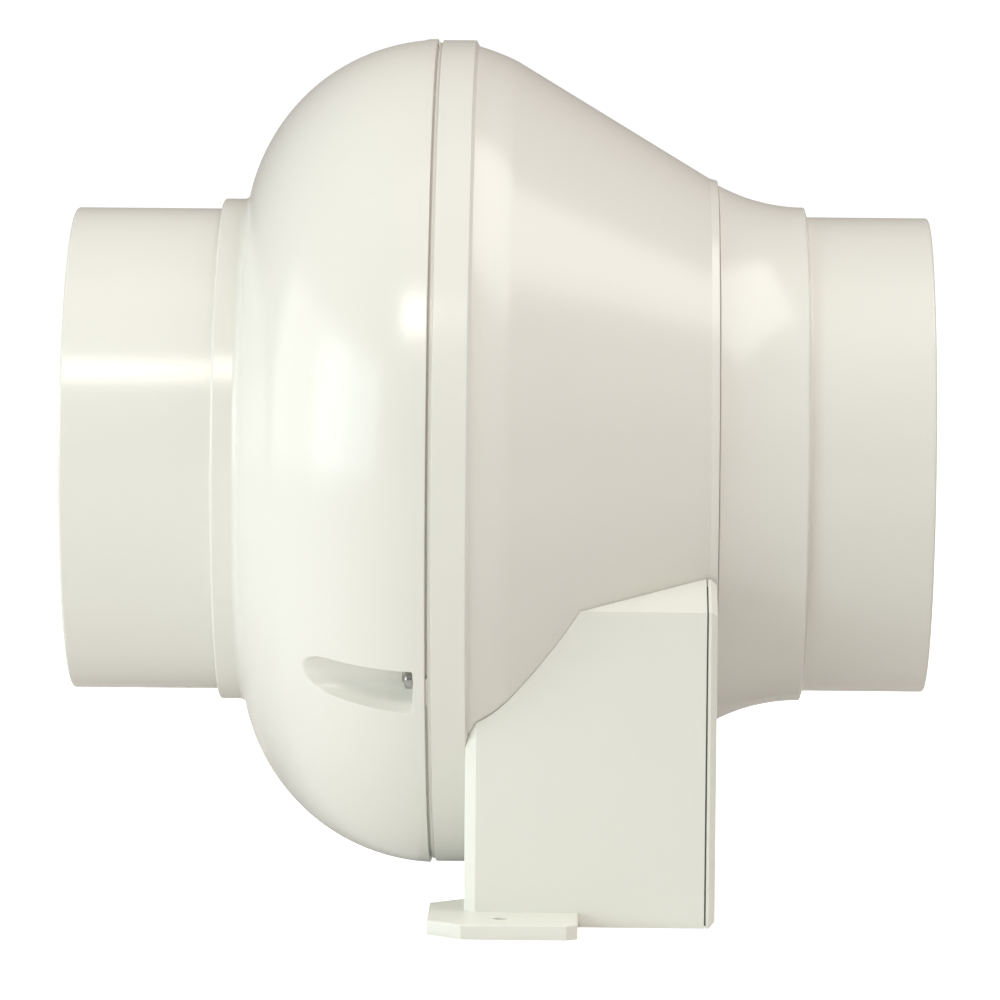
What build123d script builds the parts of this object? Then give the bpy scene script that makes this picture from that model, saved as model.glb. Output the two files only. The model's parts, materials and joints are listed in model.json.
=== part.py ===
from build123d import *
import math
import os

# In-line duct fan for nominal 150 mm round ducting, in mm.
# Everything is modelled in the fan frame: X runs along the duct axis towards the outlet and starts at the
# joint between the two casings, Z is up and starts at the duct axis. The last step moves it so that the
# origin lies midway along the fan, on its centre plane, at the height of the feet.

# Overall
axis_height = 135.0
inlet_mouth_x = -110.3
outlet_mouth_x = 152.9
wall = 2.5
gap = 0.1

# Duct spigots
inlet_spigot_r = 74.5
outlet_spigot_r = 73.4

# Inlet casing: a collar and a bulb whose section is one arc
collar_r = 77.6
collar_x = -64.7
collar_bore_r = 73.5
bulb_arc_r = 61.0
bulb_arc_x = 3.2
bulb_arc_centre_r = 66.58

# Outlet casing: joint groove under the rim of the inlet casing, band, cone and end ring
rim_x = 1.1
groove_r = 125.4
groove_width = 1.75
band_r = 127.2
band_end_x = 12.9
bevel_x = 13.9
bevel_r = 125.4
cone_start_x = 26.0
cone_slope = 0.6
cone_ref_x = 42.9
cone_ref_r = 110.55
ring_start_x = 85.2
ring_end_x = 87.7
ring_end_r = 84.5

# Outlet adaptor: concave neck, then the spigot
neck_end_x = 114.5
neck_end_r = 76.4
neck_arc_r = 56.0
socket_r = 82.1
socket_x = 84.0

# Screw channels in the bulb, each with a screw that clamps the casings together
channel_angles = (90, 210.7, 329.3)
channel_axis_r = 120.2
channel_r = 6.5
channel_wall = 2.2
channel_end_x = -2.8
channel_boss_r = 5.0
pocket_length = 3.0
pocket_half_width = 4.5
pocket_depth = 0.9
tab_r = 126.5
lug_angles = (30, 150, 270)
lug_axis_r = 117.0

# Joint between the casings: a lip on the outlet casing in a groove of the inlet casing, with a ring seal
lip_start_x = -1.7
lip_inner_r = 122.4
lip_outer_r = 124.5
lip_groove_clearance = 0.2
seal_start_x = -1.3
seal_end_x = -0.4
seal_inner_r = 123.75
seal_outer_r = 124.6

# Screws: thread radii, and how much wider than its thread a tapped hole is
casing_screw_r = 1.6
motor_screw_r = 1.94
bell_screw_r = 1.2
clamp_screw_r = 1.42
cover_screw_r = 1.9
cover_screw_head_r = 3.6
tapped_clearance = 0.04
passing_clearance = 0.3

# Pedestal
base_left_x = 12.9
base_right_x = 84.2
base_half_width = 100.5
base_chamfer = 3.3
roof_edge_z = -41.0
roof_slope = math.tan(math.radians(22))
roof_flat_y = 60.0
saddle_gap = 0.2
saddle_wall = 2.2
foot_thickness = 4.3
foot_hole_r = 2.3
foot_end_y = 129.5
foot_hole_x = 24.0
foot_hole_y = 115.0
cover_gap = 0.5
cover_thickness = 2.7
cover_cutout_r = 86.6
cover_boss_length = 17.4
cover_boss_depth = 13.4
cover_boss_r = 4.6
cover_boss_bore_r = 2.3

# Cable route
entry_x = 46.0
entry_z = -118.0
entry_hole_r = 8.0
cable_r = 4.25
lead_r = 2.5
lead_x = 66.5
lead_z = -121.0
lead_exit_z = -31.0

# Motor, inside the hub of the carrier
hub_r = 46.0
hub_start_x = 2.0
hub_end_x = 60.0
lug_start_x = 9.5
lug_seat_x = 13.5
can_r = 42.0
can_wall = 2.0
can_front_x = 5.0
can_end_x = 54.0
core_start_x = 20.0
core_end_x = 44.0
core_bore_r = 24.5
rotor_core_r = 24.0
bearing_r = 11.0
bearing_width = 7.0
shaft_r = 4.0
shaft_front_x = -45.5
shaft_end_x = 56.0
press_clearance = 0.02
motor_screw_angles = range(45, 360, 90)
motor_screw_circle_r = 32.0
bell_screw_angles = range(0, 360, 90)
bell_screw_circle_r = 37.4
slot_count = 12
slot_r = 31.0
end_turn_width = 5.0

# Impeller
impeller_r = 97.0
hub_front_x = -36.0
hub_front_r = 27.6
hub_back_x = -8.0
hub_arc_r = 100.0
hub_thickness = 2.3
hub_boss_r = 11.0
eye_r = 64.2
eye_edge_x = -47.0
shroud_edge_x = -27.0
rib_count = 6
blade_thickness = 2.4
blade_count = 7
vane_thickness = 2.2
vane_count = 9

# Terminal compartment
clamp_y = 84.0
clamp_half_length = 12.0
clamp_half_width = 4.0
clamp_groove_r = 3.8
clamp_screw_spacing = 8.0
terminal_rows_x = (59.5, 70.5)
terminal_first_y = 41.0
terminal_pitch = 9.33
terminal_count = 4
terminal_top_z = -117.0
terminal_hole_r = 2.4
terminal_screw_r = 2.1
capacitor_r = 14.0
capacitor_x = (35.0, 79.0)
capacitor_y = -72.0
capacitor_z = -117.4
clip_x = (54.0, 62.0)
clip_middle_x = 58.0
clip_foot_z = -132.4
clip_foot_top_z = -131.2
clip_screw_y = -52.0


def turned(edges):
    """Solid of revolution about the duct axis, from a closed outline of (x, radius) edges."""
    return revolve(Plane.XZ * make_face(edges), Axis.X, 360)


def ring(x0, x1, inner_r, outer_r):
    """Plain ring about the duct axis, or a disc where inner_r is 0."""
    disc = Circle(outer_r)
    if inner_r > 0:
        disc -= Circle(inner_r)
    return extrude(Plane.YZ.offset(x0) * disc, x1 - x0)


def rod(x0, x1, y, z, radius):
    """Cylinder along X."""
    return extrude(Plane.YZ.offset(x0) * Pos(y, z) * Circle(radius), x1 - x0)


def block(x0, x1, y0, y1, z0, z1):
    """Rectangular block between two corners."""
    return Pos((x0 + x1) / 2, (y0 + y1) / 2, (z0 + z1) / 2) * Box(x1 - x0, y1 - y0, z1 - z0)


def polar(angle, radius):
    """(y, z) at an angle from +Y towards +Z."""
    return radius * math.cos(math.radians(angle)), radius * math.sin(math.radians(angle))


def spun(shape, angle):
    """Shape made on the +Y side, turned about the duct axis."""
    return Rot(X=angle) * shape


def repeated(shape, angles):
    """One group of the same shape at several angles about the duct axis."""
    return joined([spun(shape, angle) for angle in angles])


def joined(shapes):
    """Separate solids as one group."""
    return Compound(children=[solid for shape in shapes for solid in shape.solids()])


def pan_screw(head_r, head_h, thread_r, length):
    """Cross-head screw: seat at Z 0, head above, thread below."""
    head = Pos(0, 0, head_h / 2) * Cylinder(head_r, head_h)
    head = fillet(head.edges().group_by(Axis.Z)[-1], head_h * 0.4)
    screw = head + Pos(0, 0, -length / 2) * Cylinder(thread_r, length)
    for turn in (0, 90):
        screw -= Pos(0, 0, head_h) * Rot(Z=turn) * Box(head_r * 1.1, head_r * 0.25, head_h)
    return screw


def countersunk_screw(head_r, thread_r, length):
    """Cross-head screw with a flat face at Z 0 and a 90 degree cone under it."""
    head_h = head_r - thread_r
    screw = Pos(0, 0, -head_h / 2) * Cone(thread_r, head_r, head_h)
    screw += Pos(0, 0, -length / 2) * Cylinder(thread_r, length)
    for turn in (0, 90):
        screw -= Rot(Z=turn) * Box(head_r * 1.1, head_r * 0.25, head_h)
    return screw


def countersink(head_r, thread_r, clearance):
    """Cone that a countersunk head needs, with its wide end at Z 0."""
    head_h = head_r - thread_r
    return Pos(0, 0, -head_h / 2) * Cone(thread_r + clearance, head_r + clearance, head_h)


def along_x(shape, x, y, z, towards=1):
    """Screw placed with its thread pointing along +X (towards 1) or -X (towards -1)."""
    return Pos(x, y, z) * Rot(Y=-90 * towards) * shape


def bulb_r(x, offset=0.0):
    """Radius of the bulb at x, or of its inner face for a negative offset."""
    return bulb_arc_centre_r + math.sqrt((bulb_arc_r + offset) ** 2 - (x - bulb_arc_x) ** 2)


def bulb_x(radius, offset=0.0):
    """X of the bulb's left flank at a radius."""
    return bulb_arc_x - math.sqrt((bulb_arc_r + offset) ** 2 - (radius - bulb_arc_centre_r) ** 2)


def cone_r(x):
    """Outer radius of the straight cone at x."""
    return cone_ref_r - cone_slope * (x - cone_ref_x)


# Casings and spigots

def inlet_spigot():
    """Tube that steps down where it passes through the collar, with a flange inside the bulb."""
    flange_x = bulb_x(inlet_spigot_r, -wall) + 0.6
    flange_end_x = flange_x + 1.5
    inner_r = inlet_spigot_r - wall
    tube = ring(inlet_mouth_x, collar_x, inner_r, inlet_spigot_r)
    tube += ring(collar_x, flange_end_x, inner_r, collar_bore_r - gap)
    tube += ring(flange_x, flange_end_x, inner_r, inlet_spigot_r + 2.4)
    return chamfer(tube.edges().group_by(Axis.X)[0], 0.6)


def bulb_body(offset):
    """Solid inside the bulb's outer face, or inside its inner face for a negative offset."""
    start_r = collar_r if offset == 0 else collar_bore_r
    end_x = rim_x if offset == 0 else 0.0
    start = (bulb_x(start_r, offset), start_r)
    middle = (-33.0, bulb_r(-33.0, offset))
    end = (end_x, bulb_r(end_x, offset))
    return turned([ThreePointArc(start, middle, end), Polyline(end, (0, 0), (start[0], 0), start)])


def channel_tool(radius, end_x):
    """Round-bottomed channel along X, open outwards."""
    tool = rod(-70, end_x, channel_axis_r, 0, radius)
    return tool + block(-70, end_x, channel_axis_r, channel_axis_r + 30, -radius, radius)


def inlet_casing():
    outer = bulb_body(0.0) + ring(collar_x, bulb_x(collar_r) + 1, 0, collar_r)
    outer = chamfer(outer.edges().group_by(Axis.X)[0], 0.8)
    body = outer - bulb_body(-wall) - ring(0, rim_x + 1, 0, groove_r + gap)
    for angle in channel_angles:
        shell = spun(rod(-45, 0, channel_axis_r, 0, channel_r + channel_wall), angle)
        body += shell & outer
    for angle in channel_angles:
        floor_r = channel_axis_r - channel_r - pocket_depth
        width = (-pocket_half_width, pocket_half_width)
        pocket = block(channel_end_x - pocket_length, channel_end_x, floor_r, 140, *width)
        hole = rod(channel_end_x - 1, 1, channel_axis_r, 0, casing_screw_r + passing_clearance)
        body -= spun(channel_tool(channel_r, channel_end_x) + pocket + hole, angle)
    body -= ring(collar_x - 1, bulb_x(collar_bore_r, -wall) + 1, 0, collar_bore_r)
    inner_r = lip_inner_r - lip_groove_clearance
    outer_r = seal_outer_r + lip_groove_clearance
    return body - ring(lip_start_x - lip_groove_clearance, 0.1, inner_r, outer_r)


def inlet_bellmouth():
    outer_r = inlet_spigot_r - wall - gap
    throat_r = 62.5
    thick = 1.8
    flare = (-56.0, outer_r)
    knee = (-51.5, 65.0)
    outer = [
        Polyline((-68, outer_r - thick), (-68, outer_r), flare),
        ThreePointArc(flare, (-52.6, 69.3), knee),
        ThreePointArc(knee, (-50.4, 63.2), (-48.4, throat_r)),
        Line((-48.4, throat_r), (-44.5, throat_r)),
    ]
    inner = [
        Polyline((-44.5, throat_r), (-44.5, throat_r - thick), (-49.6, throat_r - thick)),
        ThreePointArc((-49.6, throat_r - thick), (-52.2, 62.0), (-53.3, 64.6)),
        ThreePointArc((-53.3, 64.6), (-54.4, 68.4), (-57.6, outer_r - thick)),
        Line((-57.6, outer_r - thick), (-68, outer_r - thick)),
    ]
    return turned(outer + inner)


def casing_seal():
    return ring(seal_start_x, seal_end_x, seal_inner_r, seal_outer_r)


def cone_outline(extra):
    """Outer edges of the outlet casing from its band to its end ring, grown by extra."""
    bevel = (bevel_x, bevel_r + extra)
    cone_start = (cone_start_x, cone_r(cone_start_x) + extra)
    middle_x = (bevel_x + cone_start_x) / 2
    middle = (middle_x, cone_r(middle_x) - 0.75 + extra)
    ring_start = (ring_start_x, cone_r(ring_start_x) + extra)
    return [
        Line((band_end_x, band_r + extra), bevel),
        ThreePointArc(bevel, middle, cone_start),
        Line(cone_start, ring_start),
        Line(ring_start, (ring_end_x, ring_end_r + extra)),
    ]


def casing_envelope(extra):
    """Everything inside the outlet casing's outer face, grown by extra."""
    start = (-12, band_r + extra)
    end = (ring_end_x, ring_end_r + extra)
    return turned(
        cone_outline(extra)
        + [Polyline(end, (ring_end_x, 0), (-12, 0), start, (band_end_x, band_r + extra))]
    )


def airway(shrink=0.0):
    """Space inside the outlet casing, made smaller by shrink."""
    inner = -wall * math.sqrt(1 + cone_slope**2) - shrink
    band = band_r - wall - shrink
    turn_x = 18.0
    start = (-6, band)
    cone_start = (turn_x, cone_r(turn_x) + inner)
    end = (socket_x, cone_r(socket_x) + inner)
    edge = Polyline(start, (12, band), cone_start, end, (socket_x, 0), (-6, 0), close=True)
    return turned([edge])


def outlet_casing():
    body = casing_envelope(0) - ring(-13, 0, 0, 140)
    body -= ring(-1, groove_width, groove_r, 140)
    edge = body.edges().filter_by(GeomType.CIRCLE).filter_by(lambda e: abs(e.radius - band_r) < 0.01)
    body = chamfer(edge.sort_by(Axis.X)[0], 1.1)
    body -= airway()
    body -= ring(socket_x - 1, ring_end_x + 1, 0, socket_r)
    body += ring(lip_start_x, 0.5, lip_inner_r, lip_outer_r)
    body -= ring(seal_start_x - 0.05, seal_end_x + 0.05, seal_inner_r - 0.05, 125.0)
    tapped_r = casing_screw_r + tapped_clearance
    for angle in channel_angles:
        tab = block(rim_x + gap, groove_width, 119, tab_r, -pocket_half_width, pocket_half_width)
        boss = rod(0, 13, channel_axis_r, 0, channel_boss_r) + tab
        body += spun(boss, angle) & casing_envelope(-0.2)
        body -= spun(rod(-3, 12.6, channel_axis_r, 0, tapped_r), angle)
    for angle in lug_angles:
        boss = rod(14.1, 27, lug_axis_r, 0, 4.5)
        body += spun(boss, angle) & casing_envelope(-1)
        body -= spun(rod(14, 24.5, lug_axis_r, 0, tapped_r), angle)
    for place in base_screw_places():
        body += (place * Pos(0, 0, -4.5) * Cylinder(5, 5)) - (place * Pos(0, 0, -9) * Cylinder(8, 4))
    for place in base_screw_places():
        body -= place * Cylinder(tapped_r, 30)
    return body - lead_hole(lead_r + 1)


def neck_r(x):
    """Outer radius of the concave neck."""
    return neck_end_r + neck_arc_r - math.sqrt(neck_arc_r**2 - (neck_end_x - x) ** 2)


def outlet_adaptor():
    start_x = ring_end_x + 0.1
    tongue_r = socket_r - gap
    middle_x = 101.0
    start = (start_x, neck_r(start_x + 0.6))
    end = (neck_end_x, neck_end_r)
    step = (neck_end_x + 0.8, outlet_spigot_r)
    inner_start = (socket_x + 0.3, tongue_r - 2.2)
    inner_end = (neck_end_x + 1, outlet_spigot_r - wall)
    inner_middle = (middle_x, neck_r(middle_x) - wall - 0.4)
    outline = [
        Polyline(inner_start, (socket_x + 0.3, tongue_r), (start_x, tongue_r), start),
        ThreePointArc(start, (middle_x, neck_r(middle_x)), end),
        Polyline(end, step, (outlet_mouth_x, outlet_spigot_r), (outlet_mouth_x, outlet_spigot_r - wall)),
        Line((outlet_mouth_x, outlet_spigot_r - wall), inner_end),
        ThreePointArc(inner_end, inner_middle, inner_start),
    ]
    body = turned(outline)
    return chamfer(body.edges().group_by(Axis.X)[-1], 0.6)


def casing_screws():
    screw = along_x(pan_screw(2.8, 2.3, casing_screw_r, 15), channel_end_x, channel_axis_r, 0)
    return repeated(screw, channel_angles)


# Motor carrier with guide vanes

def guide_vane():
    """One vane on the +Z side: it takes out the swirl and ends parallel to the axis."""
    camber = ThreePointArc((8, -18), (28, -4.5), (52, 0))
    return extrude(trace([camber], vane_thickness), 130)


def motor_carrier():
    hub = ring(hub_start_x, hub_end_x, hub_r - wall, hub_r) + ring(hub_start_x, can_front_x, 7, hub_r)
    seat = ring(hub_start_x - gap, lug_seat_x, 121.0, 124.6) & airway(0.15)
    passage = airway(0.4) - ring(-20, 90, 0, hub_r - 1)
    for number in range(vane_count):
        turn = Rot(X=number * 360 / vane_count)
        seat += (turn * guide_vane()) & passage
    body = hub + seat
    for angle in channel_angles:
        body -= spun(rod(0, 15, channel_axis_r, 0, channel_boss_r + 0.4), angle)
    lug = rod(lug_start_x, lug_seat_x + 0.4, lug_axis_r, 0, channel_boss_r)
    lug += block(lug_start_x, lug_seat_x, lug_axis_r, 122, -4, 4)
    for angle in lug_angles:
        body += spun(lug, angle)
        body -= spun(rod(9, 15, lug_axis_r, 0, casing_screw_r + passing_clearance), angle)
    for angle in motor_screw_angles:
        body -= spun(rod(0, 6, motor_screw_circle_r, 0, motor_screw_r + passing_clearance), angle)
    return body


def carrier_screws():
    screw = along_x(pan_screw(3.4, 2.4, casing_screw_r, 14), lug_start_x, lug_axis_r, 0)
    return repeated(screw, lug_angles)


def tail_cone():
    end_x = 92.0
    shoulder = hub_end_x + gap
    inner_r = hub_r - 2.2
    tongue_r = hub_r - wall - gap
    outer = [
        Polyline((shoulder, tongue_r), (shoulder, hub_r)),
        ThreePointArc((shoulder, hub_r), (84, 31.5), (end_x, 0)),
        Line((end_x, 0), (end_x - 2.2, 0)),
        ThreePointArc((end_x - 2.2, 0), (82.5, 29.6), (shoulder + 2, inner_r - 2.2)),
        Polyline((shoulder + 2, inner_r - 2.2), (56.9, tongue_r - 2), (56.9, tongue_r), (shoulder, tongue_r)),
    ]
    return turned(outer) - lead_hole(3.2)


# Motor

def motor_can():
    body = ring(can_front_x, can_end_x, can_r - can_wall, can_r)
    body += ring(can_front_x, can_front_x + can_wall + 0.5, 6.5, can_r)
    seat_x = can_front_x + 2.4
    body += ring(seat_x, seat_x + bearing_width, bearing_r + press_clearance, bearing_r + 3)
    tapped_r = motor_screw_r + press_clearance
    for angle in motor_screw_angles:
        body += spun(rod(can_front_x, can_front_x + 8, motor_screw_circle_r, 0, 3.6), angle)
        body -= spun(rod(can_front_x - 1, can_front_x + 7, motor_screw_circle_r, 0, tapped_r), angle)
    boss = rod(50.6, can_end_x, bell_screw_circle_r, 0, 3.2)
    for angle in bell_screw_angles:
        body += spun(boss, angle) & ring(0, 90, 0, can_r - 1)
        body -= spun(rod(51, 55, bell_screw_circle_r, 0, bell_screw_r + tapped_clearance), angle)
    return body


def end_bell():
    body = ring(can_end_x, can_end_x + 2.5, 7, can_r)
    body += ring(can_end_x - bearing_width, can_end_x + 0.1, bearing_r + press_clearance, bearing_r + 3)
    body -= rod(can_end_x - 1, can_end_x + 4, 0, lead_exit_z, 3.2)
    hole = rod(can_end_x - 1, can_end_x + 4, bell_screw_circle_r, 0, bell_screw_r + passing_clearance)
    return body - repeated(hole, bell_screw_angles)


def end_bell_screws():
    screw = pan_screw(2.4, 1.6, bell_screw_r, 5)
    screw = along_x(screw, can_end_x + 2.5, bell_screw_circle_r, 0, towards=-1)
    return repeated(screw, bell_screw_angles)


def motor_screws():
    screw = along_x(pan_screw(3.6, 2.4, motor_screw_r, 9.5), hub_start_x, motor_screw_circle_r, 0)
    return repeated(screw, motor_screw_angles)


def motor_bearings():
    bearing = ring(0, bearing_width, shaft_r + 0.05, bearing_r)
    groove = ring(-1, 0.5, 6.2, 9.2)
    bearing -= groove
    bearing -= Pos(bearing_width + 0.5, 0, 0) * groove
    front = Pos(can_front_x + 2.5, 0, 0) * bearing
    rear = Pos(can_end_x - bearing_width, 0, 0) * bearing
    return joined([front, rear])


def stator_core():
    plan = Circle(can_r - can_wall - 0.05) - Circle(core_bore_r)
    slot = Pos(slot_r, 0) * Rectangle(8.6, 8.2) + Pos(slot_r - 5, 0) * Rectangle(4, 2.4)
    for number in range(slot_count):
        plan -= Rot(Z=number * 360 / slot_count) * slot
    return extrude(Plane.YZ.offset(core_start_x) * plan, core_end_x - core_start_x)


def stator_windings():
    end_turn = ring(0, end_turn_width, slot_r - 3.8, slot_r + 4)
    body = Pos(core_start_x - end_turn_width, 0, 0) * end_turn + Pos(core_end_x, 0, 0) * end_turn
    body = fillet(body.edges().group_by(Axis.X)[0] + body.edges().group_by(Axis.X)[-1], 2)
    bar = Plane.YZ.offset(core_start_x - 0.5) * Pos(slot_r, 0) * Rectangle(7.2, 7.4)
    bar = extrude(bar, core_end_x - core_start_x + 1)
    for number in range(slot_count):
        body += spun(bar, number * 360 / slot_count)
    return body


def motor_lead():
    path = FilletPolyline(
        (core_end_x + end_turn_width + gap, 0, lead_exit_z),
        (lead_x, 0, lead_exit_z),
        (lead_x, 0, lead_z),
        (lead_x, 35.9, lead_z),
        radius=13,
    )
    section = Plane(origin=path @ 0, z_dir=path % 0) * Circle(lead_r)
    return sweep(section, path)


def lead_hole(radius):
    """Passage for the motor lead, straight down at its station."""
    return Pos(lead_x, 0, -80) * Cylinder(radius, 100)


# Impeller and shaft

def hub_arc(shift):
    """Front face of the impeller's back, moved along X by shift."""
    centre_x = hub_back_x - hub_arc_r
    front = (hub_front_x + shift, hub_front_r)
    middle_r = 62.0
    middle = (centre_x + math.sqrt(hub_arc_r**2 - (impeller_r - middle_r) ** 2) + shift, middle_r)
    return ThreePointArc(front, middle, (hub_back_x + shift, impeller_r))


def impeller():
    plate = [
        hub_arc(0),
        Line((hub_back_x, impeller_r), (hub_back_x + hub_thickness, impeller_r)),
        hub_arc(hub_thickness),
        Line((hub_front_x + hub_thickness, hub_front_r), (hub_front_x, hub_front_r)),
    ]
    body = turned(plate)
    bore_r = shaft_r + press_clearance
    body += ring(hub_front_x, hub_front_x + 2.5, bore_r, hub_front_r + 0.4)
    body += ring(hub_front_x, hub_back_x, bore_r, hub_boss_r)
    rib = block(hub_front_x + 1, -14, hub_boss_r - 1, 36, -1, 1)
    for number in range(rib_count):
        body += spun(rib, number * 360 / rib_count) - turned_front_space()
    camber = ThreePointArc(polar(0, 44), polar(-17, 71), polar(-46, impeller_r))
    blade = extrude(Plane.YZ.offset(-60) * trace([camber], blade_thickness), 60)
    for number in range(blade_count):
        body += (Rot(X=number * 360 / blade_count) * blade) & blade_space()
    return body


def turned_front_space():
    """Space in front of the impeller's back, which its ribs stay out of."""
    start = (hub_back_x + 0.5, impeller_r)
    end = (hub_front_x + 0.5, hub_front_r)
    return turned([hub_arc(0.5), Polyline(start, (-70, impeller_r), (-70, hub_front_r), end)])


def blade_space():
    """Flow passage between the impeller's back and its shroud."""
    shift = 1.0
    start = (hub_front_x + shift, hub_front_r)
    edge = Polyline(
        (hub_back_x + shift, impeller_r),
        (shroud_edge_x + 0.2, impeller_r),
        (-35.7, 72),
        (-37.5, 67.8),
        (-30.5, 43),
        start,
    )
    return turned([hub_arc(shift), edge])


def impeller_shroud():
    inner = [
        Line((eye_edge_x, eye_r), (-44, eye_r)),
        ThreePointArc((-44, eye_r), (-38.7, 66.9), (-36, 72)),
        Line((-36, 72), (shroud_edge_x, impeller_r)),
    ]
    outer = [
        Polyline((shroud_edge_x, impeller_r), (shroud_edge_x - 2.2, impeller_r), (-37.9, 72.7)),
        ThreePointArc((-37.9, 72.7), (-40.1, 68.4), (-44.3, eye_r + 2)),
        Polyline((-44.3, eye_r + 2), (eye_edge_x, eye_r + 2), (eye_edge_x, eye_r)),
    ]
    return turned(inner + outer)


def impeller_nut():
    nut = extrude(Plane.YZ.offset(hub_front_x - 6.6) * RegularPolygon(7.5, 6), 6.5)
    return nut - ring(-60, -20, 0, shaft_r + press_clearance)


def dome(height, radius):
    """Solid ball cap in front of the impeller's hub."""
    ball_r = (radius**2 + height**2) / (2 * height)
    ball = Pos(hub_front_x - height + ball_r, 0, 0) * Sphere(ball_r)
    return ball & ring(hub_front_x - 30, hub_front_x - gap, 0, 40)


def nose_cap():
    return dome(13.0, hub_front_r) - dome(11.0, hub_front_r - 2)


def rotor_shaft():
    shaft = ring(shaft_front_x, shaft_end_x, 0, shaft_r)
    shaft = chamfer(shaft.edges().group_by(Axis.X)[0] + shaft.edges().group_by(Axis.X)[-1], 0.5)
    return shaft - ring(54.6, 55.5, shaft_r - 0.6, 10)


def rotor_core():
    plan = Circle(rotor_core_r) - Circle(shaft_r + press_clearance)
    body = extrude(Plane.YZ.offset(core_start_x) * plan, core_end_x - core_start_x)
    body += ring(core_start_x - 3, core_start_x, 14, 23.4)
    return body + ring(core_end_x, core_end_x + 3, 14, 23.4)


def shaft_spacer():
    return ring(hub_back_x + gap, can_front_x + 2.1, shaft_r + press_clearance, 5.7)


def shaft_circlip():
    clip = ring(54.65, 55.45, shaft_r - 0.55, 5.9)
    return clip - block(54, 56, 0, 10, -1.6, 1.6)


# Pedestal, its feet and the casing screws

def house(inset):
    """End view of the pedestal with its two sloping shoulders, made smaller by inset."""
    half = base_half_width - inset
    drop = inset * math.sqrt(1 + roof_slope**2)
    low = -axis_height + inset
    edge_z = roof_edge_z + inset * roof_slope - drop
    ridge_z = edge_z + (half - roof_flat_y) * roof_slope
    points = [
        (-half, low),
        (half, low),
        (half, edge_z),
        (roof_flat_y, ridge_z),
        (-roof_flat_y, ridge_z),
        (-half, edge_z),
    ]
    return Polyline(*points, close=True)


def house_solid(x0, x1, inset):
    return extrude(Plane.YZ.offset(x0) * make_face([house(inset)]), x1 - x0)


def foot(side):
    """Fixing lug with cut corners, under the pedestal's left corner on one side."""
    corners = [
        (2.3, 80.1),
        (2.3, foot_end_y - 10.3),
        (12.6, foot_end_y),
        (43.4, foot_end_y),
        (46.8, foot_end_y - 3),
        (46.8, 96),
        (17, 69.8),
        (12.6, 69.8),
    ]
    plan = make_face([Polyline(*[(x, side * y) for x, y in corners], close=True)])
    lug = extrude(Pos(0, 0, -axis_height) * plan, foot_thickness)
    lug = fillet(lug.edges().group_by(Axis.Z)[-1], 0.5)
    return lug - Pos(foot_hole_x, side * foot_hole_y, -axis_height) * Cylinder(foot_hole_r, 20)


def base_screw_places():
    """Frames on the cone's outer face with Z pointing out of it, two on each side."""
    tilt = math.degrees(math.atan(cone_slope))
    places = []
    for angle in (230, 310):
        for x in (36.0, 72.0):
            places.append(Rot(X=angle - 90) * Pos(x, 0, cone_r(x)) * Rot(Y=tilt))
    return places


def cover_screw_places():
    return [(y, z) for z in (-50.0, -128.0) for y in (-93.6, 93.6)]


def clamp_block(z0, z1, half_width):
    """Bar under or over the mains cable, beside its entry."""
    x = (entry_x - clamp_half_length, entry_x + clamp_half_length)
    return block(*x, clamp_y - half_width, clamp_y + half_width, z0, z1)


def clamp_screw_stations():
    return (entry_x - clamp_screw_spacing, entry_x + clamp_screw_spacing)


def mounting_base():
    plan = Pos((base_left_x + 150) / 2, 0) * Rectangle(150 - base_left_x, 2 * base_half_width)
    plan = chamfer(plan.vertices().group_by(Axis.X)[0], base_chamfer)
    body = house_solid(base_left_x, base_right_x, 0)
    body &= extrude(Pos(0, 0, -axis_height) * plan, 150)
    body -= casing_envelope(saddle_gap)
    cavity = house_solid(base_left_x + wall, base_right_x + 1, wall)
    body -= cavity - casing_envelope(saddle_gap + saddle_wall)
    for y, z in cover_screw_places():
        body += rod(base_right_x - cover_boss_length, base_right_x, y, z, cover_boss_r)
        body -= rod(base_right_x - cover_boss_depth, base_right_x + 1, y, z, cover_boss_bore_r)
    body += clamp_block(-axis_height + 1, entry_z, clamp_half_width)
    body -= Pos(entry_x, clamp_y, entry_z) * Rot(X=90) * Cylinder(clamp_groove_r, 12)
    body -= Pos(entry_x, base_half_width, entry_z) * Rot(X=90) * Cylinder(entry_hole_r, 12)
    for x in clamp_screw_stations():
        body -= Pos(x, clamp_y, entry_z) * Cylinder(clamp_screw_r + press_clearance, 18)
    for place in base_screw_places():
        body += (place * Pos(0, 0, saddle_gap + 4) * Cylinder(4.5, 8)) & house_solid(20, 80, 1)
        body -= place * Pos(0, 0, 2) * Cylinder(casing_screw_r + tapped_clearance, 10)
    body -= lead_hole(lead_r + 2.1) & block(50, 80, -10, 10, -105, -80)
    body -= Pos(clip_middle_x, clip_screw_y, -133.2) * Cylinder(casing_screw_r + press_clearance, 1.7)
    lugs = foot(-1) + foot(1)
    return body + lugs


def base_screws():
    screw = Rot(X=180) * pan_screw(3.4, 2.2, casing_screw_r, 11)
    return joined([place * Pos(0, 0, -7.05) * screw for place in base_screw_places()])


# Terminal compartment

def terminal_stations():
    """Y of each terminal's centre line."""
    return [terminal_first_y + number * terminal_pitch for number in range(terminal_count)]


def terminal_block():
    """Block with a wire hole at both ends of each terminal and a screw hole over it."""
    body = block(54, 76, 36, 74, clip_foot_z, terminal_top_z)
    for y in terminal_stations():
        body -= block(53, 59, y - 2.6, y + 2.6, -129, -121)
        body -= block(71, 77, y - 2.6, y + 2.6, -129, -121)
        for x in terminal_rows_x:
            body -= Pos(x, y, terminal_top_z) * Cylinder(terminal_hole_r, 6)
    return body


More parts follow.
